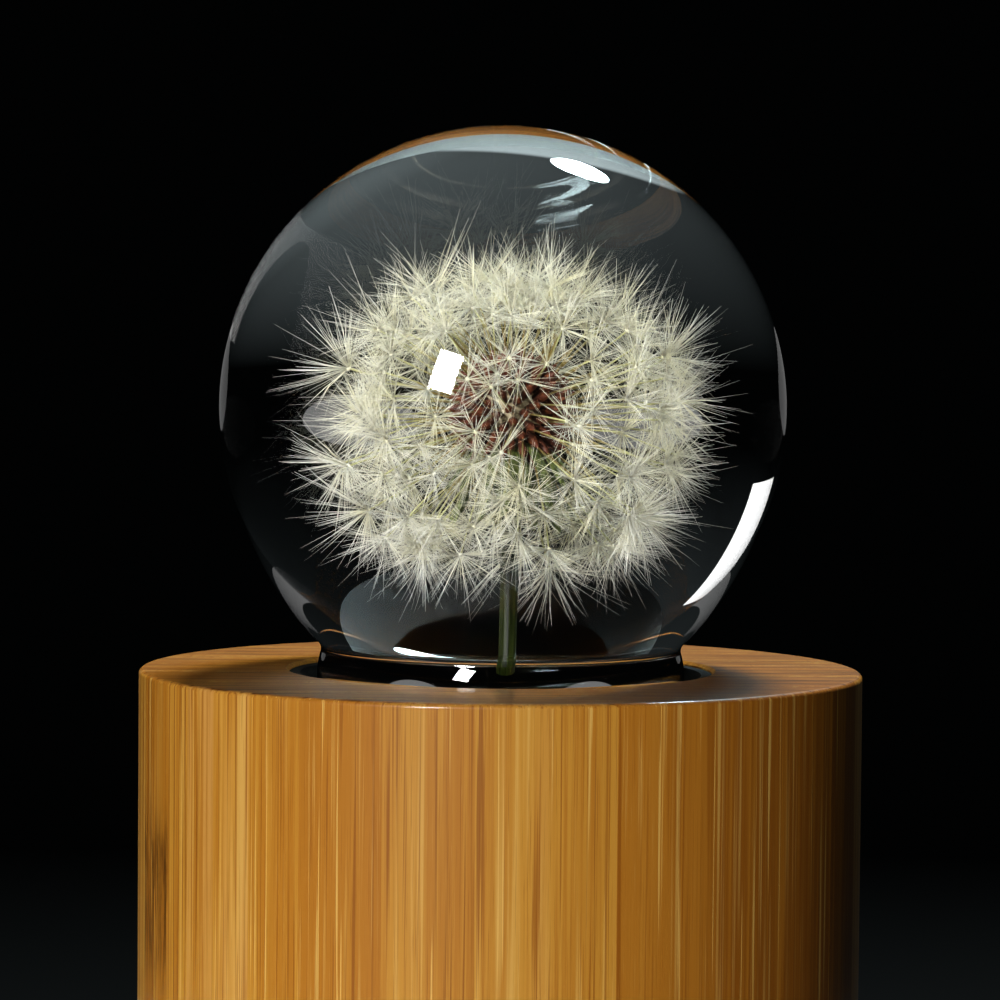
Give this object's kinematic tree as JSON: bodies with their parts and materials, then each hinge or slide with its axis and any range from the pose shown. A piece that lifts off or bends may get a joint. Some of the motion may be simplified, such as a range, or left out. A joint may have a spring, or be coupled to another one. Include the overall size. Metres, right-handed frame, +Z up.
{
  "type": "paperweight",
  "caption": "Clear ball paperweight holding a dandelion clock, with a short foot that rests in a lined recess in a round laminated bamboo plinth.",
  "frame": {"origin": "centre of the foam rubber pad's underside, where the plinth stands", "axes": "+Z up through the plinth and the ball; the bamboo layers lie parallel to the XZ plane and the pictured side faces -Y"},
  "size_m": [0.102, 0.102, 0.1376],
  "materials": {
    "bamboo": "gloss",
    "pad_foam": "matte",
    "liner": "matte",
    "clear_resin": "polished",
    "stem_green": "satin",
    "receptacle_tan": "matte",
    "bract_green": "satin",
    "achene_brown": "matte",
    "beak_straw": "satin",
    "pappus_white": "matte"
  },
  "bodies": {
    "plinth": {"bamboo_layer_01": "bamboo", "bamboo_layer_02": "bamboo", "bamboo_layer_03": "bamboo", "bamboo_layer_04": "bamboo", "bamboo_layer_05": "bamboo", "bamboo_layer_06": "bamboo", "bamboo_layer_07": "bamboo", "bamboo_layer_08": "bamboo", "bamboo_layer_09": "bamboo", "bamboo_layer_10": "bamboo", "bamboo_layer_11": "bamboo", "bamboo_layer_12": "bamboo", "bamboo_layer_13": "bamboo", "bamboo_layer_14": "bamboo", "bamboo_layer_15": "bamboo", "bamboo_layer_16": "bamboo", "bamboo_layer_17": "bamboo", "bamboo_layer_18": "bamboo", "bamboo_layer_19": "bamboo", "bamboo_layer_20": "bamboo", "bamboo_layer_21": "bamboo", "bamboo_layer_22": "bamboo", "non_slip_pad": "pad_foam"},
    "seat": {"seat_liner": "liner"},
    "ball": {"clear_ball": "clear_resin", "flower_stem": "stem_green", "receptacle": "receptacle_tan", "inner_bracts": "bract_green", "outer_bracts": "bract_green", "achenes": "achene_brown", "beaks": "beak_straw", "pappus": "pappus_white"}
  },
  "joints": [
    {"name": "ball_turn", "type": "hinge", "parent": "plinth", "child": "seat", "pos_m": [0, 0, 0.057], "axis": [0, 0, 1], "continuous": true},
    {"name": "ball_lift", "type": "slide", "parent": "seat", "child": "ball", "axis": [0, 0, 1], "range_m": [0, 0.05]}
  ]
}
